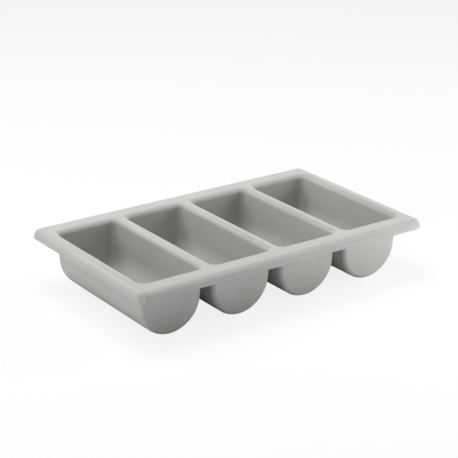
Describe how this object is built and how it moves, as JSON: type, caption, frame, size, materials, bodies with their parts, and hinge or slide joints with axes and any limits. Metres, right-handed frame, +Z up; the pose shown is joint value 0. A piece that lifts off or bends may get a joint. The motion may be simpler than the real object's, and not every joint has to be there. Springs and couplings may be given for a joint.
{
  "type": "cutlery tray",
  "caption": "Grey moulded cutlery tray with parallel round-bottomed troughs hung from one rolled rim, for a serving counter cut-out or a table.",
  "frame": {"origin": "under the middle of the tray, at the lowest line of the troughs", "axes": "+X along the long side, +Y along the troughs towards the back, +Z up"},
  "size_m": [0.53, 0.325, 0.0955],
  "materials": {
    "grey_plastic": "satin moulded surface with a fine grain"
  },
  "bodies": {
    "root": {"rim_frame": "grey_plastic", "divider_1": "grey_plastic", "divider_2": "grey_plastic", "divider_3": "grey_plastic", "bin_1": "grey_plastic", "bin_2": "grey_plastic", "bin_3": "grey_plastic", "bin_4": "grey_plastic"}
  },
  "joints": []
}
